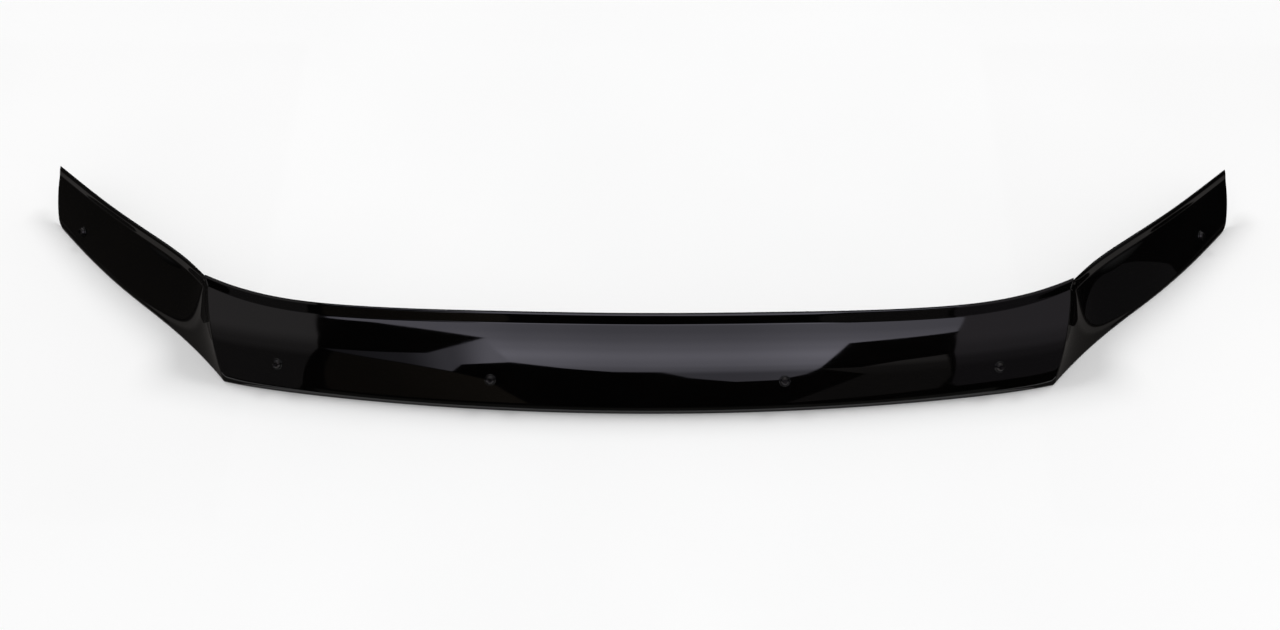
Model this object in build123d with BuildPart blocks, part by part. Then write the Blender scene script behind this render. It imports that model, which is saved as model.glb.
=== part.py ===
from build123d import *
from math import radians
import os

os.makedirs("parts", exist_ok=True)

# Hood bug deflector. Millimetres. X runs across the vehicle, the front faces -Y, Z is up.
# The shield stands on its lower edge in the plane z = 0, with the origin under the middle of its box.

# Sheet and its section, measured along the front face; leans are degrees back from upright
sheet = 3.0
foot_radius = 8.0
fold_radius = 5.0
rim_radius = 6.5
rim_lean = 68.0
crease_radius = 6.0
half_depth = 188.2

# Ends of the wings, routed to an outline seen from the front
end_at_foot = 727.0
end_at_middle = 731.5
end_at_rim = 728.5
end_middle_height = 26.0
end_rim_height = 52.0
end_corner = 8.0
above_all = 120.0
far_ahead = 500.0

# Fastening, six places along the shield: distance from the centre line and height of each pair
fixing_places = ((168.5, 32.5), (417, 29.5), (690, 17.5))
shank = 6.0
screw_length = 16.0
screw_point = 0.6
head = 10.5
head_height = 3.3
head_brim = 0.5
socket = 4.0
socket_depth = 2.1
washer = 13.0
washer_thick = 1.2
washer_edge = 0.4
screw_clearance = 0.2
shield_clearance = 0.5
thread_clearance = 0.05
seat_clearance = 0.02

# Behind the shield
spacer = 16.0
spacer_thick = 4.0
tightest_bow = 150.0
strip = 1.5
strip_width = 24.0
web_height = 28.0
bend = 4.0
lower_leg = 26.0
lower_hook = 6.0
upper_leg = 20.0
upper_rise = 10.0
liner = 1.5
liner_length = 13.0
nut_across = 10.0
nut_thick = 5.0
hood_screw_hole = 5.2


def station_plane(x, y, yaw, tilt):
    """Plane of one section, its origin at the foot: local x runs inward and level, local y up the sheet."""
    inward = Vector(0, 1, 0).rotate(Axis.Z, yaw)
    across = Vector(1, 0, 0).rotate(Axis.Y, tilt).rotate(Axis.Z, yaw)
    return Plane(origin=(x, y - half_depth, 0), x_dir=inward, z_dir=across)


def sheet_section(x, y, yaw, tilt, lean_foot, lean_fold, face_length, lip_lean, lip_length):
    """Closed section of the sheet: turned-in foot, bowed face, fold, lip and rolled rim."""
    bow = lean_fold - lean_foot
    face_radius = face_length / radians(bow)
    with BuildSketch(station_plane(x, y, yaw, tilt)) as section:
        with BuildLine():
            foot = JernArc((0, 0), (0, 1), foot_radius, -lean_foot)
            face = JernArc(foot @ 1, foot % 1, face_radius, -bow)
            fold = JernArc(face @ 1, face % 1, fold_radius, lean_fold - lip_lean)
            lip = PolarLine(fold @ 1, lip_length, direction=fold % 1)
            rim = JernArc(lip @ 1, lip % 1, rim_radius, lip_lean - rim_lean)
            offset(amount=sheet, side=Side.RIGHT)
        make_face()
    return section.sketch


def on_side(side, station):
    """The same section on the right (1) or, mirrored, on the left (-1)."""
    x, y, yaw, tilt, *form = station
    return (side * x, y, side * yaw, side * tilt, *form)


# Sections of the mould from the centre line to past the wing tip:
# x, y, yaw, tilt, lean at the foot, lean under the fold, face length, lip lean, lip length
middle = (0, 0, 0, 0, 24, 54, 100, 28, 8.5)
quarter = (180, 6, 2.5, 0, 24, 54, 98, 28, 8.5)
shoulder = (340, 22, 6, 3, 24, 54, 92.5, 28, 8.5)
by_crease = (430, 36, 7, 8, 24, 54, 95, 28, 8.5)
crease = (482, 48, 15, 25, 22, 53, 111, 27, 8.5)
past_crease = (512, 85.5, 36, 24, 23, 44, 80.5, 20, 7.5)
wing_root = (560, 137, 46, 12, 28, 47, 68, 18, 6.5)
wing_middle = (620, 193.5, 45, 4, 31, 49, 64.5, 18, 6)
wing_outer = (680, 256.5, 47, 0, 32, 50, 56.5, 18, 5.5)
wing_end = (720, 304.5, 50, 0, 32, 50, 49.5, 18, 5.5)
wing_tip = (775, 377, 54, 0, 32, 50, 40, 18, 5.5)

with BuildPart() as shield:
    # Middle panel in one sweep from crease to crease
    half = (quarter, shoulder, by_crease, crease)
    left_half = [sheet_section(*on_side(-1, s)) for s in reversed(half)]
    right_half = [sheet_section(*s) for s in half]
    loft(sections=[*left_half, sheet_section(*middle), *right_half])
    # Wings, each starting on the section it shares with the middle panel
    for side in (1, -1):
        wing = (crease, past_crease, wing_root, wing_middle, wing_outer, wing_end, wing_tip)
        loft(sections=[sheet_section(*on_side(side, s)) for s in wing])
    # The creases are bends, not folds: rounded outside and inside by one sheet less
    for side in (1, -1):
        mitre = station_plane(*on_side(side, crease)[:4])
        for radius in (crease_radius, crease_radius - sheet):
            crease_edges = shield.edges().filter_by(lambda e: abs(mitre.to_local_coords(e @ 0.3).Z) < 0.01)
            fillet(crease_edges.sort_by(SortBy.LENGTH)[-1], radius)
    # Routed outline
    with BuildSketch(Plane.XZ) as outline:
        with BuildLine():
            widest = (end_at_middle, end_middle_height)
            end = ThreePointArc((end_at_foot, 0), widest, (end_at_rim, end_rim_height))
            Polyline(end @ 1, (end_at_rim, above_all), (0, above_all))
            Line((0, 0), end @ 0)
            mirror(about=Plane.YZ)
        make_face()
        fillet(outline.vertices().group_by(Axis.Y)[0].sort_by(Axis.X)[0], end_corner)
        fillet(outline.vertices().group_by(Axis.Y)[0].sort_by(Axis.X)[-1], end_corner)
    extrude(amount=far_ahead, both=True, mode=Mode.INTERSECT)
    # Screw seats on the front face: local z is the face's outward normal, local x runs level along it
    seats = []
    for x, z in fixing_places:
        for side in (1, -1):
            sight = Axis((side * x, -far_ahead, z), (0, 1, 0))
            spot, normal = shield.part.find_intersection_points(sight)[0]
            seats.append(Plane(origin=spot, x_dir=Vector(0, 0, 1).cross(normal), z_dir=normal))
    for seat in seats:
        with BuildSketch(seat.offset(2 * sheet)):
            Circle(shank / 2 + shield_clearance)
        extrude(amount=-4 * sheet, mode=Mode.SUBTRACT)

shield.part.label = "shield"
export_step(shield.part, "parts/shield.step")

# Heights over and under the seat. The sheet is bowed, so a flat spacer behind it touches at its rim.
under_head = washer_thick + seat_clearance
head_top = under_head + head_height
bow_in_spacer = (spacer / 2) ** 2 / (2 * tightest_bow)
spacer_front = -sheet - bow_in_spacer
web_front = spacer_front - spacer_thick
nut_front = web_front - strip

with BuildPart() as washers:
    for seat in seats:
        with BuildSketch(seat.offset(under_head)):
            Circle(washer / 2)
            Circle(shank / 2 + screw_clearance, mode=Mode.SUBTRACT)
        extrude(amount=-washer_thick)
    circles = washers.edges().filter_by(GeomType.CIRCLE)
    chamfer(circles.filter_by(lambda e: abs(e.radius - washer / 2) < 0.01), washer_edge)

washers.part.label = "washers"
export_step(washers.part, "parts/washers.step")

with BuildPart() as mounting_screws:
    for seat in seats:
        upright = Plane(origin=seat.origin, x_dir=seat.x_dir, z_dir=-seat.y_dir)
        tip = under_head - screw_length
        with BuildSketch(upright):
            with BuildLine():
                point = Polyline((0, tip), (shank / 2 - screw_point, tip), (shank / 2, tip + screw_point))
                under = Polyline(point @ 1, (shank / 2, under_head), (head / 2, under_head))
                brim = Line(under @ 1, under @ 1 + Vector(0, head_brim))
                shoulder_point = (0.41 * head, under_head + 0.64 * head_height)
                dome = ThreePointArc(brim @ 1, shoulder_point, (head / 4, head_top))
                Polyline(dome @ 1, (0, head_top), (0, tip))
            make_face()
        revolve(axis=Axis(seat.origin, seat.z_dir))
        with BuildSketch(seat.offset(head_top)):
            RegularPolygon(radius=socket / 2, side_count=6, major_radius=False)
        extrude(amount=-socket_depth, mode=Mode.SUBTRACT)

mounting_screws.part.label = "mounting_screws"
export_step(mounting_screws.part, "parts/mounting_screws.step")

with BuildPart() as nuts:
    for seat in seats:
        with BuildSketch(seat.offset(nut_front)):
            RegularPolygon(radius=nut_across / 2, side_count=6, major_radius=False)
            Circle(shank / 2 + thread_clearance, mode=Mode.SUBTRACT)
        extrude(amount=-nut_thick)

nuts.part.label = "nuts"
export_step(nuts.part, "parts/nuts.step")

# A spacer, a clip and a liner behind each screw, numbered outward, right side odd
for number, seat in enumerate(seats, start=1):
    with BuildPart() as spacer_ring:
        with BuildSketch(seat.offset(spacer_front)):
            Circle(spacer / 2)
            Circle(shank / 2 + screw_clearance, mode=Mode.SUBTRACT)
        extrude(amount=-spacer_thick)
    spacer_ring.part.label = f"spacer_{number}"
    export_step(spacer_ring.part, f"parts/spacer_{number}.step")

    # The clip is drawn from the side, in the upright plane through the screw: local x inward, local y up
    inward = Vector(-seat.z_dir.X, -seat.z_dir.Y, 0).normalized()
    side_view = Plane(origin=seat.origin, x_dir=inward, z_dir=seat.x_dir)
    outward = side_view.to_local_coords(seat.origin + seat.z_dir)
    upslope = side_view.to_local_coords(seat.origin + seat.y_dir)
    web_middle = outward * web_front
    lower_corner = web_middle - upslope * (web_height / 2)
    upper_corner = web_middle + upslope * (web_height / 2)
    upper_way = Vector(1, 0, 0).rotate(Axis.Z, upper_rise)
    upper_end = upper_corner + upper_way * upper_leg
    hook_corner = lower_corner + Vector(lower_leg, 0, 0)
    with BuildPart() as clip:
        with BuildSketch(side_view) as clip_side:
            with BuildLine():
                hook = hook_corner + Vector(0, lower_hook, 0)
                FilletPolyline(hook, hook_corner, lower_corner, upper_corner, upper_end, radius=bend)
                offset(amount=strip, side=Side.RIGHT)
            make_face()
        extrude(amount=strip_width / 2, both=True)
        with BuildSketch(seat.offset(web_front + strip)):
            Circle(shank / 2 + screw_clearance)
        extrude(amount=-3 * strip, mode=Mode.SUBTRACT)
        # The hood-screw hole ends half its width short of the hook's bend
        before_hook = Vector(bend + hood_screw_hole, strip, 0)
        hood_screw = side_view.from_local_coords(hook_corner - before_hook)
        with BuildSketch(Plane(origin=hood_screw, x_dir=(1, 0, 0), z_dir=(0, 0, 1))):
            Circle(hood_screw_hole / 2)
        extrude(amount=3 * strip, mode=Mode.SUBTRACT)
    clip.part.label = f"clip_{number}"
    export_step(clip.part, f"parts/clip_{number}.step")

    # Rubber sleeve on the free end of the upper leg
    sleeve_end = side_view.from_local_coords(upper_end + upper_way * liner)
    sleeve_way = side_view.from_local_coords(upper_corner) - sleeve_end
    leg_frame = Plane(origin=sleeve_end, x_dir=sleeve_way, z_dir=seat.x_dir)
    with BuildPart() as sleeve:
        with BuildSketch(leg_frame):
            with Locations((liner_length / 2, strip / 2)):
                Rectangle(liner_length, strip + 2 * liner)
        extrude(amount=strip_width / 2, both=True)
        add(clip.part, mode=Mode.SUBTRACT)
    sleeve.part.label = f"liner_{number}"
    export_step(sleeve.part, f"parts/liner_{number}.step")
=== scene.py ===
"""Dresses the hood bug deflector: the thermoformed sheet, its screws and clips, and a small photo studio.

The file is laid out as an add-on and is run as a script. Lengths in the settings are metres; the sheet's
sections are in millimetres, as its maker measures them.
"""
import math

import bmesh
import bpy
import numpy as np
from bpy.props import FloatProperty, FloatVectorProperty, IntProperty, PointerProperty
from mathutils import Matrix, Vector


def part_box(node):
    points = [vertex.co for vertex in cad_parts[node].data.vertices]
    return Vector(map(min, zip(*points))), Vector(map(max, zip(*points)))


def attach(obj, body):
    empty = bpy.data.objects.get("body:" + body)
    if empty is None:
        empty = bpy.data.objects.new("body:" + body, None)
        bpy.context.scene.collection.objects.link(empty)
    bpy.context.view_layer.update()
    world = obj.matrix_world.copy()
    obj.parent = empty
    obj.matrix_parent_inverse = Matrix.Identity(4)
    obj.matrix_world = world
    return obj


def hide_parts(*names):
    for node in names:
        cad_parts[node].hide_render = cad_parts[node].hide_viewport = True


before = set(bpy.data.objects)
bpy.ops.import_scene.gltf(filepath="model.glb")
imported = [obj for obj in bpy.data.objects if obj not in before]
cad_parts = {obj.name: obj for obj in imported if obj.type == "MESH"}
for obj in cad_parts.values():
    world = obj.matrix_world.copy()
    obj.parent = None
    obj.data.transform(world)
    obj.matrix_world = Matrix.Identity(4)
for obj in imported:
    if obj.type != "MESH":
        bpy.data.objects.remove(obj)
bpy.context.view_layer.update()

bl_info = {
    "name": "Hood Bug Deflector",
    "version": (1, 0, 0),
    "blender": (4, 5, 0),
    "location": "View3D > Sidebar > Deflector",
    "description": "Builds a hood bug deflector's shield, fasteners and clips around its packed CAD model",
    "category": "Object",
}

MM = 0.001
# Numbers of the six places that have a screw, a clip, a spacer and a liner
PLACES = range(1, 7)

# Section of the sheet, measured along its front face, in millimetres and degrees
FOOT_RADIUS = 8.0
FOLD_RADIUS = 5.0
RIM_RADIUS = 6.5
RIM_LEAN = 68.0
# Rows of the sheet's grid on each stretch of the section: foot, face, fold, lip and rim
STRETCH_ROWS = (6, 56, 10, 4, 10)

# Sections of the mould from the centre line to past the wing tip, in millimetres and degrees:
# x, y, yaw, tilt, lean at the foot, lean under the fold, face length, lip lean, lip length
# Four numbers differ from the solid's own, so that this surface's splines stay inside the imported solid's box:
# the face lengths at the crease and just past it, the last section's y, and the ends' middle half width.
MIDDLE = (0, 0, 0, 0, 24, 54, 100, 28, 8.5)
HALF_PANEL = (
    (180, 6, 2.5, 0, 24, 54, 98, 28, 8.5),
    (340, 22, 6, 3, 24, 54, 92.5, 28, 8.5),
    (430, 36, 7, 8, 24, 54, 95, 28, 8.5),
)
CREASE = (482, 48, 15, 25, 22, 53, 110.4, 27, 8.5)
WING = (
    (512, 85.5, 36, 24, 23, 44, 80.1, 20, 7.5),
    (560, 137, 46, 12, 28, 47, 68, 18, 6.5),
    (620, 193.5, 45, 4, 31, 49, 64.5, 18, 6),
    (680, 256.5, 47, 0, 32, 50, 56.5, 18, 5.5),
    (720, 304.5, 50, 0, 32, 50, 49.5, 18, 5.5),
    (775, 372.4, 54, 0, 32, 50, 40, 18, 5.5),
)

# Routed ends of the wings seen from the front: half widths at the foot, middle and rim, and their heights
END_POINTS = ((727.0, 0.0), (731.49, 26.0), (728.5, 52.0))
END_CORNER = 8.0

# The rounding of a crease starts this share of the crease's radius away from it, and has this many columns
CREASE_SHARE_FRONT = 1 / 4
CREASE_SHARE_BACK = 1 / 8
CREASE_COLUMNS = 7

# Noise runs mostly between these two values
NOISE_LOW = 0.3
NOISE_HIGH = 0.7

# Cards that glow though they are no lamps and are seen only in mirror-like surfaces: they paint the reflections
# of a softbox, walls, shelves and a horizon. Each has its colour, its painted shading as stops of (metres
# along an axis, brightness), and its corners in metres. The wall's cards lie in a plane WALL_DISTANCE from
# the object, tipped WALL_TIP down at it; their corners are measured to the right and up the wall.
WALL_DISTANCE = 2.6
WALL_TIP = math.radians(40)
WALL_REFLECTION_CARDS = {
    "softbox": ("#F1EEFF",
                {"Z": ((1.20, 0.8), (1.34, 1.6), (1.45, 2.1), (1.66, 2.5), (1.86, 2.0), (2.1, 1.5),
                       (2.3, 1.25)),
                 "X": ((-1.2, 1.4), (-0.75, 1.35), (-0.45, 1.12), (-0.1, 1.0), (0.3, 1.0), (0.8, 1.25),
                       (1.2, 1.15))},
                ((-1.22, 1.4), (1.22, 1.4), (1.18, 0.54), (0.82, 0.33), (0.72, -0.47), (0.67, -0.67),
                 (0.55, -0.85), (0.37, -0.88), (0.17, -0.72), (0.06, -0.52), (-0.13, -0.52), (-0.33, -0.42),
                 (-0.54, -0.27), (-0.65, 0.5), (-1.09, 0.96), (-1.22, 1.0))),
    "softbox_skirt": ("#F1EEFF", {"X": ((-1.25, 0.17), (-1.0, 0.25), (-0.8, 0.8), (-0.6, 2.2))},
                      ((-0.54, -0.27), (-0.65, 0.5), (-0.89, -0.06), (-1.28, -0.14), (-1.25, -0.2),
                       (-1.01, -0.42), (-0.81, -0.65), (-0.76, -0.4))),
    "left_wall": ("#EAE4E6", {"Z": ((1.25, 0.12), (1.5, 0.25), (1.95, 0.52))},
                  ((-3.4, 1.4), (-1.25, 1.4), (-1.27, 0.31), (-1.31, -0.15), (-1.72, -1.75), (-1.85, -2.1),
                   (-3.4, -2.1))),
    "left_shelf": ("#E8D8C4", {"X": ((-1.6, 0.065), (-1.2, 0.07), (-0.6, 0.12))},
                   ((-1.25, -0.22), (-1.01, -0.44), (-0.81, -0.67), (-0.67, -0.91), (-0.55, -1.85),
                    (-1.58, -1.85))),
    "right_wall": ("#E8DFEA", {"Z": ((1.05, 0.13), (1.3, 0.2), (1.55, 0.38), (1.95, 0.52))},
                   ((1.21, 1.4), (3.4, 1.4), (3.4, -1.6), (1.48, -1.6), (1.41, -1.43), (1.22, -0.19),
                    (1.18, 0.41))),
    "right_shelf": ("#E4DEDC", {"Z": ((1.0, 0.1), (1.25, 0.15), (1.4, 0.35))},
                    ((0.72, -0.5), (0.89, -0.5), (1.03, -0.34), (1.19, -0.24), (1.34, -1.08), (1.38, -1.6),
                     (0.67, -1.84), (0.93, -0.74))),
    "horizon": ("#E4E4DE", {"X": ((-2, 0.1), (2, 0.12))},
                ((-1.7, -1.95), (1.9, -1.95), (1.9, -2.17), (-1.7, -2.17))),
}
# Cards that paint the reflections of screens and a stand beside the wings, upright at x, with corners (y, z)
SIDE_REFLECTION_CARDS = {
    "left_screen": ("#E8E0D8", 0.06, -1.2, ((-0.45, 0.0), (1.2, 0.0), (1.2, 0.32), (-0.45, 0.32))),
    "right_screen": ("#DCDCE0", 0.012, 1.2, ((-0.45, 0.0), (1.2, 0.0), (1.2, 0.32), (-0.45, 0.32))),
    "right_stand": ("#E0DCE0", 0.09, 1.19,
                    ((-0.13, 0.0), (-0.125, 0.06), (-0.105, 0.16), (-0.06, 0.27), (-0.03, 0.31), (0.0, 0.31),
                     (0.012, 0.23), (0.035, 0.09), (0.03, 0.0))),
}
# Cards just above the floor beside the wings, seen only in reflections: they paint the floor's reflection in
# the wings, with painted shading outward from the middle, and dark patches of painted reflection on their inner
# parts
FLOOR_REFLECTION = ((0.46, 0.1), (0.50, 0.15), (0.60, 0.17), (0.69, 0.34), (0.80, 0.35), (0.90, 0.05), (1.2, 0.02))
FLOOR_REFLECTION_COLOUR = "#E8E2DE"
FLOOR_REFLECTION_DEPTH = (-0.35, 0.5)
FLOOR_REFLECTION_HEIGHT = 0.0015
DARK_PATCH = ((0.46, -0.05), (0.585, -0.05), (0.645, -0.03), (0.72, 0.03), (0.78, 0.068), (0.80, 0.1), (0.80, 0.5),
         (0.46, 0.5))
DARK_PATCH_HEIGHT = 0.003
DARK_PATCH_GLOW = {"left": 0.045, "right": 0.01}

# Parts of the sphere round the cards that paints the dark hall in reflections, grey high up at its sides:
# start and end in degrees from straight in front, and brightness by height, with the height as a share of
# the radius
HALL_DARK = ((0, 0.006), (1, 0.006))
HALL_GREY = ((0, 0.006), (0.35, 0.01), (0.48, 0.35), (1, 0.4))
HALL_PARTS = {
    "hall": (-50, 50, HALL_DARK),
    "left_hall": (-140, -50, HALL_GREY),
    "right_hall": (50, 140, HALL_GREY),
}
# Angle that the painted hall's sphere reaches above the floor, and the rows and columns of each part's grid
HALL_TOP = 78
HALL_GRID = (14, 19)


def linear(hex_colour):
    """An sRGB hex colour as the linear red, green, blue and alpha that Blender's shaders take."""
    channels = np.array([int(hex_colour[i:i + 2], 16) for i in (1, 3, 5)]) / 255
    low = channels / 12.92
    high = ((channels + 0.055) / 1.055) ** 2.4
    return (*np.where(channels <= 0.04045, low, high), 1.0)


def new_object(name, mesh):
    """An object at the origin, linked to the scene, for a mesh whose place is in its vertices."""
    thing = bpy.data.objects.new(name, mesh)
    bpy.context.scene.collection.objects.link(thing)
    return thing


def grid_faces(rows, columns, start=0, flip=False):
    """Corner numbers of the quads of a rows by columns grid whose points are numbered row by row."""
    row, column = np.meshgrid(np.arange(rows - 1), np.arange(columns - 1), indexing="ij")
    corner = row * columns + column
    quads = np.stack([corner, corner + 1, corner + columns + 1, corner + columns], axis=-1).reshape(-1, 4)
    return start + (quads[:, ::-1] if flip else quads)


def shade(mesh, sharp_angle):
    """Smooth shading, with the edges that turn more than sharp_angle degrees kept sharp."""
    mesh.polygons.foreach_set("use_smooth", np.ones(len(mesh.polygons), dtype=bool))
    mesh.set_sharp_from_angle(angle=math.radians(sharp_angle))


def round_edges(thing, width, segments, angle):
    """A live Bevel on the edges that turn more than angle degrees."""
    bevel = thing.modifiers.new("rounded edges", "BEVEL")
    bevel.width = width
    bevel.segments = segments
    bevel.limit_method = "ANGLE"
    bevel.angle_limit = math.radians(angle)
    bevel.harden_normals = True


# The sheet's surface


def profile_rows():
    """Which stretch of the section each row lies on, and how far along it from 0 to 1.

    The stretches are foot, face, fold, lip and rim."""
    stretch, along = [], []
    for index, count in enumerate(STRETCH_ROWS):
        stretch.append(np.full(count, index))
        along.append(np.arange(count) / count)
    last = len(STRETCH_ROWS) - 1
    return np.append(np.concatenate(stretch), last), np.append(np.concatenate(along), 1.0)


def section(station, depth, half_depth):
    """Points of one section of the sheet, in millimetres, depth behind its front face.

    Each stretch turns at a steady rate, so its points are the integral of a heading that grows with the
    distance: an arc, or a line where the heading stays. A point moves behind the face along the heading's
    right-hand normal. The flat section then stands on its foot in a plane turned by yaw about the upright and
    by tilt about the inward way."""
    x, y, yaw, tilt, lean_foot, lean_fold, face_length, lip_lean, lip_length = station
    headings = np.radians([0, lean_foot, lean_fold, lip_lean, lip_lean, RIM_LEAN])
    turns = np.diff(headings)
    lengths = np.array([FOOT_RADIUS * turns[0], face_length, -FOLD_RADIUS * turns[2], lip_length,
                        RIM_RADIUS * turns[4]])
    stretch, along = profile_rows()

    def run(index, share):
        start, turn, length = headings[index], turns[index], lengths[index]
        heading = start + turn * share
        straight = np.abs(turn) < 1e-9
        rate = length / np.where(straight, 1.0, turn)
        inward = np.where(straight, length * share * np.sin(start), rate * (np.cos(start) - np.cos(heading)))
        upward = np.where(straight, length * share * np.cos(start), rate * (np.sin(heading) - np.sin(start)))
        return np.stack([inward, upward], axis=-1), heading

    whole, _ = run(np.arange(5), np.ones(5))
    starts = np.concatenate([np.zeros((1, 2)), np.cumsum(whole, axis=0)[:-1]])
    flat, heading = run(stretch, along)
    flat = flat + starts[stretch] + depth * np.stack([np.cos(heading), -np.sin(heading)], axis=-1)
    yaw, tilt = math.radians(yaw), math.radians(tilt)
    inward = np.array([-math.sin(yaw), math.cos(yaw), 0])
    across = np.array([math.cos(tilt) * math.cos(yaw), math.cos(tilt) * math.sin(yaw), -math.sin(tilt)])
    upward = np.cross(across, inward)
    return np.array([x, y - half_depth, 0]) + flat[:, :1] * inward + flat[:, 1:] * upward


def mirrored(station):
    """The same section on the left side."""
    x, y, yaw, tilt, *form = station
    return (-x, y, -yaw, -tilt, *form)


def smooth_run(sections, at):
    """Points of the smooth curves through matching points of the sections, at given distances for each row.

    Each row's curve is a cubic spline whose third derivative runs on through its first and last inner points,
    over the mean chord between sections."""
    chords = np.linalg.norm(np.diff(sections, axis=0), axis=2).mean(axis=1)
    knots = np.concatenate([[0], np.cumsum(chords)])
    gaps = np.diff(knots)
    count = len(knots)
    system, known = np.zeros((count, count)), np.zeros(sections.shape)
    inner = np.arange(1, count - 1)
    system[inner, inner - 1] = gaps[:-1]
    system[inner, inner] = 2 * (gaps[:-1] + gaps[1:])
    system[inner, inner + 1] = gaps[1:]
    slopes = np.diff(sections, axis=0) / gaps[:, None, None]
    known[1:-1] = 6 * np.diff(slopes, axis=0)
    system[0, :3] = gaps[1], -(gaps[0] + gaps[1]), gaps[0]
    system[-1, -3:] = gaps[-1], -(gaps[-2] + gaps[-1]), gaps[-2]
    bends = np.linalg.solve(system, known.reshape(count, -1)).reshape(sections.shape)
    distance = at(knots)
    left = np.clip(np.searchsorted(knots, distance, side="right") - 1, 0, count - 2)
    row = np.broadcast_to(np.arange(sections.shape[1]), distance.shape)
    gap = gaps[left][..., None]
    before = (knots[left + 1][..., None] - distance[..., None]) / gap
    after = 1 - before
    cubic = (before ** 3 - before) * bends[left, row] + (after ** 3 - after) * bends[left + 1, row]
    return before * sections[left, row] + after * sections[left + 1, row] + cubic * gap ** 2 / 6


def end_half_width(height):
    """Half width of the routed outline at a height: an arc through three points and a round bottom corner."""
    (x0, z0), (x1, z1), (x2, z2) = END_POINTS
    rows = np.array([[x1 - x0, z1 - z0], [x2 - x0, z2 - z0]])
    right = np.array([x1 ** 2 - x0 ** 2 + z1 ** 2 - z0 ** 2, x2 ** 2 - x0 ** 2 + z2 ** 2 - z0 ** 2]) / 2
    centre_x, centre_z = np.linalg.solve(rows, right)
    radius = math.hypot(x0 - centre_x, z0 - centre_z)
    arc = centre_x + np.sqrt(radius ** 2 - (height - centre_z) ** 2)
    below = np.clip(END_CORNER - height, 0, END_CORNER)
    return arc - (END_CORNER - np.sqrt(END_CORNER ** 2 - below ** 2))


def sheet_side(depth, half_depth, crease_radius, panel_columns, wing_columns):
    """One face of the sheet as a grid of points: rows from foot to rim, columns from left end to right end.

    The panel and the wings are smooth runs through their sections. They meet in the crease's section, where a
    short parabola with the corner as its control point rounds the bend. Each row of a wing stops where it
    meets the routed outline. That spot is found by halving, from the fourth section on, which is well inside
    the outline."""
    crease = section(CREASE, depth, half_depth)
    right = [section(s, depth, half_depth) for s in (*HALF_PANEL, CREASE)]
    left = [section(mirrored(s), depth, half_depth) for s in (CREASE, *reversed(HALF_PANEL))]
    panel = np.array([*left, section(MIDDLE, depth, half_depth), *right])
    wing = np.array([crease, *(section(s, depth, half_depth) for s in WING)])
    rows = len(crease)

    def panel_at(knots):
        share = np.linspace(0, 1, panel_columns)[:, None]
        return crease_radius + (knots[-1] - 2 * crease_radius) * share + np.zeros(rows)

    def reach(knots):
        low, high = np.full(rows, knots[3]), np.full(rows, knots[-1])
        for _ in range(40):
            half = (low + high) / 2
            spot = smooth_run(wing, lambda _: half[None, :])[0]
            past = spot[:, 0] > end_half_width(spot[:, 2])
            low, high = np.where(past, low, half), np.where(past, half, high)
        return (low + high) / 2

    def wing_at(knots):
        share = np.linspace(0, 1, wing_columns)[:, None]
        return crease_radius + (reach(knots) - crease_radius) * share

    middle = smooth_run(panel, panel_at)
    outer = smooth_run(wing, wing_at)
    bend = np.linspace(0, 1, CREASE_COLUMNS + 2)[1:-1, None, None]
    turn = (1 - bend) ** 2 * middle[-1] + 2 * bend * (1 - bend) * crease + bend ** 2 * outer[0]
    right_side = np.concatenate([turn, outer])
    left_side = right_side[::-1] * np.array([-1, 1, 1])
    return np.concatenate([left_side, middle, right_side]).transpose(1, 0, 2)


def sheet_mesh(settings):
    """The whole sheet: its front and back grids, joined all round by the routed edge."""
    half_depth = -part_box("shield")[0][1] / MM
    thickness = settings.sheet / MM
    corner = settings.crease_radius / MM
    spans = settings.panel_columns, settings.wing_columns
    front = sheet_side(0.0, half_depth, corner * CREASE_SHARE_FRONT, *spans)
    back = sheet_side(thickness, half_depth, corner * CREASE_SHARE_BACK, *spans)
    rows, columns = front.shape[:2]
    count = rows * columns
    points = np.concatenate([front.reshape(-1, 3), back.reshape(-1, 3)]) * MM
    number = np.arange(count).reshape(rows, columns)
    rim = np.concatenate([number[0], number[1:, -1], number[-1, -2::-1], number[-2:0:-1, 0]])
    around = np.roll(rim, -1)
    edge = np.stack([rim, rim + count, around + count, around], axis=-1)
    faces = np.concatenate([grid_faces(rows, columns), grid_faces(rows, columns, count, flip=True), edge])
    mesh = bpy.data.meshes.new("shield_sheet")
    mesh.from_pydata(points.tolist(), [], faces.tolist())
    material = np.zeros(len(faces), dtype=np.int32)
    material[-len(edge):] = 1
    mesh.polygons.foreach_set("material_index", material)
    mesh.update()
    return mesh


def merged_copy(node, name):
    """A copy of a CAD node, its loose triangles joined and its flat faces whole, ready for rounded edges."""
    mesh = bpy.data.meshes.new(name)
    work = bmesh.new()
    work.from_mesh(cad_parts[node].data)
    bmesh.ops.remove_doubles(work, verts=work.verts, dist=1e-6)
    bmesh.ops.dissolve_limit(work, angle_limit=math.radians(0.5), verts=work.verts, edges=work.edges)
    work.to_mesh(mesh)
    work.free()
    shade(mesh, sharp_angle=30)
    return mesh


# Materials


def add_node(tree, kind, links=(), **settings):
    """Adds one node. A setting is set on the socket or attribute of its name; links are (socket, output)."""
    node = tree.nodes.new(kind)
    for key, value in settings.items():
        label = key.replace("_", " ")
        socket = next((s for s in node.inputs if s.name.lower() == label and s.enabled), None)
        if socket is None:
            setattr(node, key, value)
        else:
            socket.default_value = value
    for socket, output in links:
        tree.links.new(output, node.inputs[socket])
    return node


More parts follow.
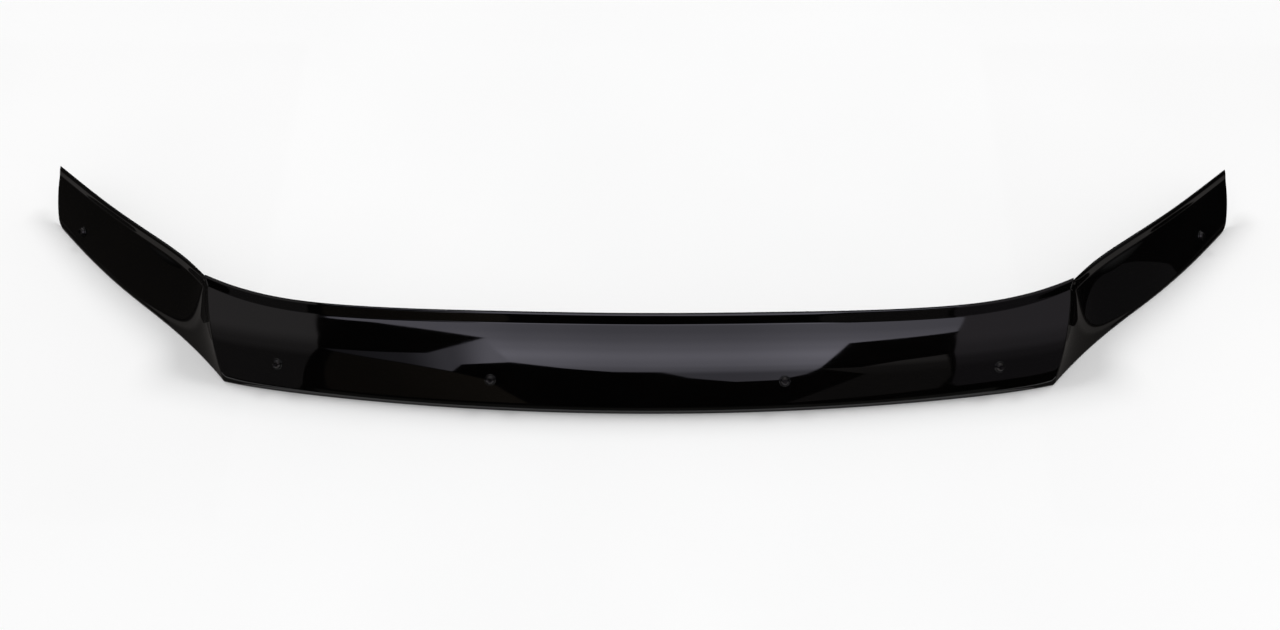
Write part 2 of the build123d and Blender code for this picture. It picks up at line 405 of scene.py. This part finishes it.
def new_material(name, **principled):
    """A material with one Principled BSDF, and its tree, its shader and its Object coordinates."""
    material = bpy.data.materials.new(name)
    material.use_nodes = True
    tree = material.node_tree
    tree.nodes.clear()
    shader = add_node(tree, "ShaderNodeBsdfPrincipled", **principled)
    add_node(tree, "ShaderNodeOutputMaterial", [("Surface", shader.outputs["BSDF"])])
    place = add_node(tree, "ShaderNodeTexCoord").outputs["Object"]
    return material, tree, shader, place


def noise(tree, place, size, detail=2.0):
    """Noise whose features are about size metres across."""
    return add_node(tree, "ShaderNodeTexNoise", [("Vector", place)], scale=1 / size, detail=detail,
                    roughness=0.5).outputs["Fac"]


def vary(tree, shader, socket, source, low, high):
    """A shader socket that follows a pattern between two values or two colours."""
    if isinstance(low, str):
        ramp = add_node(tree, "ShaderNodeValToRGB", [("Fac", source)])
        ramp.color_ramp.elements[0].position = NOISE_LOW
        ramp.color_ramp.elements[0].color = linear(low)
        ramp.color_ramp.elements[1].position = NOISE_HIGH
        ramp.color_ramp.elements[1].color = linear(high)
        tree.links.new(ramp.outputs["Color"], shader.inputs[socket])
        return
    spread = add_node(tree, "ShaderNodeMapRange", [("Value", source)], from_min=NOISE_LOW,
                      from_max=NOISE_HIGH, to_min=low, to_max=high)
    tree.links.new(spread.outputs["Result"], shader.inputs[socket])


def relief(tree, shader, layers):
    """Bumps the surface by several patterns at once; each layer is (pattern, height in metres)."""
    normal = None
    for pattern, height in layers:
        links = [("Height", pattern)] + ([("Normal", normal)] if normal else [])
        normal = add_node(tree, "ShaderNodeBump", links, strength=1.0, distance=height).outputs["Normal"]
    tree.links.new(normal, shader.inputs["Normal"])


def thermoformed_smoke_acrylic(settings):
    """Very dark smoke acrylic, drawn hot over a mould: mirror gloss over black, with the slow waviness that
    the heated sheet keeps, some 75 mm across and at most 0.04 mm high, and faint wiping haze."""
    material, tree, shader, place = new_material("thermoformed smoke acrylic", roughness=0.03, ior=1.49)
    vary(tree, shader, "Base Color", noise(tree, place, 0.12), "#020202", "#050404")
    vary(tree, shader, "Roughness", noise(tree, place, 0.045, detail=5.0), 0.015, 0.05)
    relief(tree, shader, [(noise(tree, place, 0.075, detail=1.0), settings.ripple)])
    return material


def scraped_acrylic_edge():
    """The routed and scraped edge of the sheet: satin, with fine cutter marks some 0.4 mm apart, and greyer than
    the face because the cut scatters light inside the smoke tint."""
    material, tree, shader, place = new_material("scraped smoke acrylic edge", roughness=0.35, ior=1.49)
    vary(tree, shader, "Base Color", noise(tree, place, 0.003, detail=3.0), "#1C201F", "#2E3332")
    relief(tree, shader, [(noise(tree, place, 0.0004), 0.00001)])
    return material


def black_oxide_steel():
    """Socket screws in black oxide: a thin conversion coat over cold-headed steel, oily enough to shine, a
    little browner where it is thin."""
    material, tree, shader, place = new_material("black oxide steel", roughness=0.17, metallic=0.9)
    vary(tree, shader, "Base Color", noise(tree, place, 0.002, detail=4.0), "#2A2A2E", "#363331")
    vary(tree, shader, "Roughness", noise(tree, place, 0.0012), 0.12, 0.22)
    relief(tree, shader, [(noise(tree, place, 0.0006), 0.000006)])
    return material


def moulded_nylon():
    """Washers of black nylon from a polished mould: shiny and deep black, with faint flow marks 4 mm wide."""
    material, tree, shader, place = new_material("moulded black nylon", roughness=0.18, ior=1.5)
    vary(tree, shader, "Base Color", noise(tree, place, 0.004), "#050506", "#0A0A0B")
    vary(tree, shader, "Roughness", noise(tree, place, 0.002), 0.12, 0.22)
    relief(tree, shader, [(noise(tree, place, 0.004), 0.000006)])
    return material


def e_coated_spring_steel():
    """Clips stamped from spring steel strip and dip coated black: even satin, a faint 1 mm orange peel."""
    material, tree, shader, place = new_material("e-coated spring steel", roughness=0.38, ior=1.5)
    vary(tree, shader, "Base Color", noise(tree, place, 0.01, detail=4.0), "#121213", "#1D1D1E")
    vary(tree, shader, "Roughness", noise(tree, place, 0.006), 0.32, 0.48)
    relief(tree, shader, [(noise(tree, place, 0.001), 0.00003)])
    return material


def zinc_plated_steel():
    """Nuts in bright zinc: pale grey metal with the cloudy crystal bloom of the plating, 2 mm."""
    material, tree, shader, place = new_material("zinc plated steel", roughness=0.3, metallic=1.0)
    vary(tree, shader, "Base Color", noise(tree, place, 0.002, detail=4.0), "#A9ABAA", "#C6C7C2")
    vary(tree, shader, "Roughness", noise(tree, place, 0.0015), 0.22, 0.42)
    return material


def neoprene():
    """Spacers punched and sleeves moulded from neoprene: dull black, a chalky bloom and a 0.5 mm grain."""
    material, tree, shader, place = new_material("neoprene rubber", roughness=0.75, ior=1.5)
    vary(tree, shader, "Base Color", noise(tree, place, 0.006, detail=5.0), "#161616", "#242322")
    relief(tree, shader, [(noise(tree, place, 0.0005), 0.00003)])
    return material


def studio_board(colour):
    """Matt white laminate board under the object, with a barely seen mottling."""
    material, tree, shader, place = new_material("matt white board", roughness=0.8)
    vary(tree, shader, "Base Color", noise(tree, place, 0.5), colour, "#FDFDFD")
    return material


def reflection_glow(name, colour, shading):
    """Glow of a card that paints a reflection, bright like a softbox or dark like a screen: it shines by itself
    though it is no lamp, with painted shading along one or two axes. A cloth's weave would be far too fine to be
    seen in a reflection, so it has none."""
    material, tree, shader, place = new_material(name)
    tree.nodes.remove(shader)
    parts = add_node(tree, "ShaderNodeSeparateXYZ", [("Vector", place)])
    strength, glow = 1.0, add_node(tree, "ShaderNodeRGB").outputs["Color"]
    glow.default_value = linear(colour)
    for axis, stops in shading.items():
        first, last = stops[0][0], stops[-1][0]
        top = max(brightness for _, brightness in stops)
        strength *= top
        along = add_node(tree, "ShaderNodeMapRange", [("Value", parts.outputs[axis])], from_min=first,
                         from_max=last)
        ramp = add_node(tree, "ShaderNodeValToRGB", [("Fac", along.outputs["Result"])])
        ramp.color_ramp.interpolation = "EASE"
        while len(ramp.color_ramp.elements) < len(stops):
            ramp.color_ramp.elements.new(0.5)
        for element, (spot, brightness) in zip(ramp.color_ramp.elements, stops):
            element.position = (spot - first) / (last - first)
            element.color = (*[brightness / top] * 3, 1)
        glow = add_node(tree, "ShaderNodeVectorMath", [(0, glow), (1, ramp.outputs["Color"])],
                        operation="MULTIPLY").outputs["Vector"]
    shine = add_node(tree, "ShaderNodeEmission", [("Color", glow)], strength=strength)
    output = next(n for n in tree.nodes if n.type == "OUTPUT_MATERIAL")
    tree.links.new(shine.outputs["Emission"], output.inputs["Surface"])
    return material


def even(brightness):
    """Shading of a reflection card that is equally bright all over."""
    return {"Z": ((0, brightness), (1, brightness))}


def dress(thing, *materials):
    """Gives an object these materials, in the order of its slots."""
    thing.data.materials.clear()
    for material in materials:
        thing.data.materials.append(material)


# Settings


class ShieldSettings(bpy.types.PropertyGroup):
    """Sizes of the thermoformed sheet."""

    sheet: FloatProperty(name="Sheet", description="Thickness of the acrylic sheet", default=0.003,
                         unit="LENGTH")
    crease_radius: FloatProperty(name="Crease radius", description="Size of the rounding between the middle "
                                 "panel and a wing", default=0.006, unit="LENGTH")
    edge_round: FloatProperty(name="Edge round", description="Round left on the routed edge by the scraper",
                              default=0.0004, unit="LENGTH")
    ripple: FloatProperty(name="Ripple", description="Height of the slow waviness of the formed sheet",
                          default=0.00004, unit="LENGTH", precision=6)
    panel_columns: IntProperty(name="Panel columns", description="Columns of the grid from crease to crease",
                               default=221)
    wing_columns: IntProperty(name="Wing columns", description="Columns of the grid along one wing",
                              default=81)


class HardwareSettings(bpy.types.PropertyGroup):
    """Sizes of the rounded edges on the metal and rubber pieces."""

    strip_round: FloatProperty(name="Clip edge", description="Round on the tumbled edges of the steel strip",
                               default=0.00025, unit="LENGTH", precision=5)
    rubber_round: FloatProperty(name="Rubber edge", description="Round on the edges of spacers and sleeves",
                                default=0.0005, unit="LENGTH", precision=5)
    nut_round: FloatProperty(name="Nut edge", description="Round on the nuts' corners", default=0.0003,
                             unit="LENGTH", precision=5)


class StageSettings(bpy.types.PropertyGroup):
    """The studio: camera, floor, sky, lamps, and the sphere that paints the dark hall in reflections."""

    lens: FloatProperty(name="Lens", description="Focal length in millimetres on a 36 mm wide sensor",
                        default=60.98)
    distance: FloatProperty(name="Distance", description="From the camera to the point it looks at",
                            default=2.6, unit="LENGTH")
    azimuth: FloatProperty(name="Azimuth", description="Direction of view, from straight at the front",
                           default=math.radians(-1.0), unit="ROTATION")
    elevation: FloatProperty(name="Elevation", description="Angle of the camera above the floor",
                             default=math.radians(45), unit="ROTATION")
    roll: FloatProperty(name="Roll", description="Turn of the camera about its line of sight",
                        default=math.radians(-0.48), unit="ROTATION")
    aim: FloatVectorProperty(name="Aim", description="Point on the floor that the camera looks at",
                             default=(0.0012, -0.0277, 0.0), subtype="TRANSLATION")
    board: FloatProperty(name="Board", description="Half the side of the floor", default=12.0, unit="LENGTH")
    sky: FloatProperty(name="Sky", description="Brightness of the even light from all round", default=0.45)
    lamp: FloatProperty(name="Lamp", description="Strength of each broad lamp behind the object",
                        default=1.29)
    lamp_spread: FloatProperty(name="Lamp spread", description="Angle that each broad lamp fills",
                               default=math.radians(22), unit="ROTATION")
    lamp_height: FloatProperty(name="Lamp height", description="Angle of the lamps above the floor",
                               default=math.radians(43), unit="ROTATION")
    lamp_side: FloatProperty(name="Lamp side", description="Angle of each lamp away from straight behind",
                             default=math.radians(40), unit="ROTATION")
    # Radius of the dimly glowing sphere that paints the dark hall in reflections
    hall: FloatProperty(name="Hall", description="Radius of the dark hall round the cards", default=5.5,
                        unit="LENGTH")


# Operators


class DEFLECTOR_OT_shield(bpy.types.Operator):
    """Makes the thermoformed sheet as one smooth surface and stands it in for the CAD shield"""

    bl_idname = "deflector.shield"
    bl_label = "Thermoformed shield"

    def execute(self, context):
        settings = context.scene.deflector_shield
        sheet = new_object("shield_sheet", sheet_mesh(settings))
        shade(sheet.data, sharp_angle=40)
        dress(sheet, thermoformed_smoke_acrylic(settings), scraped_acrylic_edge())
        round_edges(sheet, settings.edge_round, segments=3, angle=50)
        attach(sheet, "root")
        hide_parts("shield")
        return {"FINISHED"}


class DEFLECTOR_OT_fasteners(bpy.types.Operator):
    """Finishes the screws and washers and rounds the nuts"""

    bl_idname = "deflector.fasteners"
    bl_label = "Screws, washers and nuts"

    def execute(self, context):
        settings = context.scene.deflector_hardware
        dress(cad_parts["mounting_screws"], black_oxide_steel())
        dress(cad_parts["washers"], moulded_nylon())
        nuts = new_object("plated_nuts", merged_copy("nuts", "plated_nuts"))
        dress(nuts, zinc_plated_steel())
        round_edges(nuts, settings.nut_round, segments=2, angle=40)
        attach(nuts, "root")
        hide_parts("nuts")
        return {"FINISHED"}


class DEFLECTOR_OT_clips(bpy.types.Operator):
    """Rounds and coats the hood clips, their spacers and their rubber sleeves"""

    bl_idname = "deflector.clips"
    bl_label = "Hood clips"

    def execute(self, context):
        settings = context.scene.deflector_hardware
        steel, rubber = e_coated_spring_steel(), neoprene()
        kinds = (("clip", "coated_clip", steel, settings.strip_round),
                 ("spacer", "rubber_spacer", rubber, settings.rubber_round),
                 ("liner", "rubber_sleeve", rubber, settings.rubber_round))
        for kind, piece_name, material, rounding in kinds:
            for place in PLACES:
                node = f"{kind}_{place}"
                piece = new_object(f"{piece_name}_{place}", merged_copy(node, f"{piece_name}_{place}"))
                dress(piece, material)
                round_edges(piece, rounding, segments=2, angle=40)
                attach(piece, "root")
                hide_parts(node)
        return {"FINISHED"}


class DEFLECTOR_OT_stage(bpy.types.Operator):
    """Sets up the studio: camera, white floor, lamps, the cards seen only in reflections, and the sky"""

    bl_idname = "deflector.stage"
    bl_label = "Studio"

    def execute(self, context):
        settings = context.scene.deflector_stage
        scene = context.scene
        self.camera(scene, settings)
        self.floor(settings)
        self.lamps(scene, settings)
        self.cards()
        self.floor_reflections()
        self.hall_reflection(settings)
        self.world(scene, settings)
        scene.view_settings.view_transform = "Standard"
        return {"FINISHED"}

    def camera(self, scene, settings):
        """The camera looks down along its elevation at the aim point, turned by roll about its sight."""
        data = bpy.data.cameras.new("camera")
        data.sensor_width = 36
        data.lens = settings.lens
        eye = bpy.data.objects.new("camera", data)
        scene.collection.objects.link(eye)
        level = math.cos(settings.elevation)
        sight = Vector((math.sin(settings.azimuth) * level, math.cos(settings.azimuth) * level,
                        -math.sin(settings.elevation)))
        right = sight.cross(Vector((0, 0, 1))).normalized()
        up = right.cross(sight)
        turned_right = right * math.cos(settings.roll) + up * math.sin(settings.roll)
        turned_up = up * math.cos(settings.roll) - right * math.sin(settings.roll)
        place = Matrix((turned_right, turned_up, -sight)).transposed().to_4x4()
        place.translation = Vector(settings.aim) - sight * settings.distance
        eye.matrix_world = place
        scene.camera = eye

    def floor(self, settings):
        """A white floor that the object stands on. It fills the picture of the camera set here."""
        half = settings.board
        corners = [(-half, -half, 0), (half, -half, 0), (half, half, 0), (-half, half, 0)]
        mesh = bpy.data.meshes.new("floor")
        mesh.from_pydata(corners, [], [(0, 1, 2, 3)])
        floor = new_object("floor", mesh)
        dress(floor, studio_board("#FAFAFA"))

    def lamps(self, scene, settings):
        """Two broad lamps behind the object, to its left and right: their soft shadows fall to the front."""
        for side in (-1, 1):
            data = bpy.data.lights.new("broad_lamp", "SUN")
            data.energy = settings.lamp
            data.angle = settings.lamp_spread
            lamp = bpy.data.objects.new("broad_lamp", data)
            scene.collection.objects.link(lamp)
            level = math.cos(settings.lamp_height)
            across, back = side * math.sin(settings.lamp_side), math.cos(settings.lamp_side)
            toward = Vector((across * level, back * level, math.sin(settings.lamp_height)))
            lamp.rotation_euler = toward.to_track_quat("Z", "Y").to_euler()
            lamp.visible_glossy = False

    def cards(self):
        """Cards in the wall's plane and beside the wings, painting reflections of a softbox, walls and screens.
        """
        rise, level = math.sin(WALL_TIP), math.cos(WALL_TIP)
        for name, (colour, shading, corners) in WALL_REFLECTION_CARDS.items():
            places = [(u, v * rise - WALL_DISTANCE * level, WALL_DISTANCE * rise + v * level)
                      for u, v in corners]
            self.card(name, places, reflection_glow(name, colour, shading))
        for name, (colour, brightness, x, corners) in SIDE_REFLECTION_CARDS.items():
            self.card(name, [(x, y, z) for y, z in corners], reflection_glow(name, colour, even(brightness)))

    def floor_reflections(self):
        """Cards just above the floor beside the wings that paint the floor's reflection, each with a dark patch
        of painted reflection on its inner part.
        """
        near, far = FLOOR_REFLECTION_DEPTH
        for side, word in ((-1, "left"), (1, "right")):
            name = f"{word}_floor_reflection"
            inner, outer = side * FLOOR_REFLECTION[0][0], side * FLOOR_REFLECTION[-1][0]
            corners = [(inner, near), (outer, near), (outer, far), (inner, far)]
            shading = {"X": sorted((side * spot, brightness) for spot, brightness in FLOOR_REFLECTION)}
            self.card(name, [(x, y, FLOOR_REFLECTION_HEIGHT) for x, y in corners], reflection_glow(name, FLOOR_REFLECTION_COLOUR, shading))
            # A dark patch of painted reflection over the inner part of each card
            self.card("dark_reflection_patch", [(side * x, y, DARK_PATCH_HEIGHT) for x, y in DARK_PATCH],
                      reflection_glow("dark reflection patch", FLOOR_REFLECTION_COLOUR, even(DARK_PATCH_GLOW[word])))

    def hall_reflection(self, settings):
        """A dimly glowing sphere behind the cards that paints the dark hall in reflections, grey high up at its
        sides: three parts of a sphere.
        """
        rows, columns = HALL_GRID
        for name, (start, end, stops) in HALL_PARTS.items():
            turn = np.radians(np.linspace(start, end, columns))
            tall = np.radians(np.linspace(0, HALL_TOP, rows))[:, None]
            points = settings.hall * np.stack([np.sin(turn) * np.cos(tall), -np.cos(turn) * np.cos(tall),
                                               np.sin(tall) + 0 * turn], axis=-1)
            mesh = bpy.data.meshes.new(name)
            mesh.from_pydata(points.reshape(-1, 3).tolist(), [], grid_faces(rows, columns).tolist())
            shading = {"Z": [(share * settings.hall, brightness) for share, brightness in stops]}
            self.hide(new_object(name, mesh), reflection_glow(name, "#FFFFFF", shading))

    def card(self, name, places, material):
        """A flat card with these corners."""
        mesh = bpy.data.meshes.new(name)
        mesh.from_pydata(places, [], [tuple(range(len(places)))])
        self.hide(new_object(name, mesh), material)

    def hide(self, card, material):
        """Leaves a card to be seen in reflections alone, so that it neither lights nor shades the floor."""
        dress(card, material)
        card.visible_camera = card.visible_diffuse = card.visible_shadow = False

    def world(self, scene, settings):
        """White to the camera, in reflections and through clear things; the light that the sky sheds on matt
        surfaces is weaker."""
        world = bpy.data.worlds.new("studio")
        scene.world = world
        world.use_nodes = True
        tree = world.node_tree
        rays = add_node(tree, "ShaderNodeLightPath")
        seen = rays.outputs["Is Camera Ray"]
        for kind in ("Is Glossy Ray", "Is Transmission Ray"):
            seen = add_node(tree, "ShaderNodeMath", [(0, seen), (1, rays.outputs[kind])],
                            operation="ADD").outputs[0]
        strength = add_node(tree, "ShaderNodeMapRange", [("Value", seen)], to_min=settings.sky, to_max=1.0)
        background = tree.nodes["Background"]
        background.inputs["Color"].default_value = (1, 1, 1, 1)
        tree.links.new(strength.outputs["Result"], background.inputs["Strength"])


class DEFLECTOR_PT_panel(bpy.types.Panel):
    """The sidebar panel that lists the steps and their settings"""

    bl_idname = "DEFLECTOR_PT_panel"
    bl_label = "Hood Bug Deflector"
    bl_space_type = "VIEW_3D"
    bl_region_type = "UI"
    bl_category = "Deflector"

    def draw(self, context):
        for operator in STEPS:
            self.layout.operator(operator.bl_idname)
        for name in SETTINGS:
            group = getattr(context.scene, name)
            box = self.layout.box()
            for field in group.__annotations__:
                box.prop(group, field)


STEPS = (DEFLECTOR_OT_shield, DEFLECTOR_OT_fasteners, DEFLECTOR_OT_clips, DEFLECTOR_OT_stage)
SETTINGS = {"deflector_shield": ShieldSettings, "deflector_hardware": HardwareSettings,
            "deflector_stage": StageSettings}


def register():
    for group in SETTINGS.values():
        bpy.utils.register_class(group)
    for name, group in SETTINGS.items():
        setattr(bpy.types.Scene, name, PointerProperty(type=group))
    for operator in STEPS:
        bpy.utils.register_class(operator)
    bpy.utils.register_class(DEFLECTOR_PT_panel)


def unregister():
    bpy.utils.unregister_class(DEFLECTOR_PT_panel)
    for operator in reversed(STEPS):
        bpy.utils.unregister_class(operator)
    for name in SETTINGS:
        delattr(bpy.types.Scene, name)
    for group in reversed(SETTINGS.values()):
        bpy.utils.unregister_class(group)


def main():
    """Runs every step."""
    register()
    bpy.ops.deflector.shield()
    bpy.ops.deflector.fasteners()
    bpy.ops.deflector.clips()
    bpy.ops.deflector.stage()


if __name__ == "__main__":
    main()
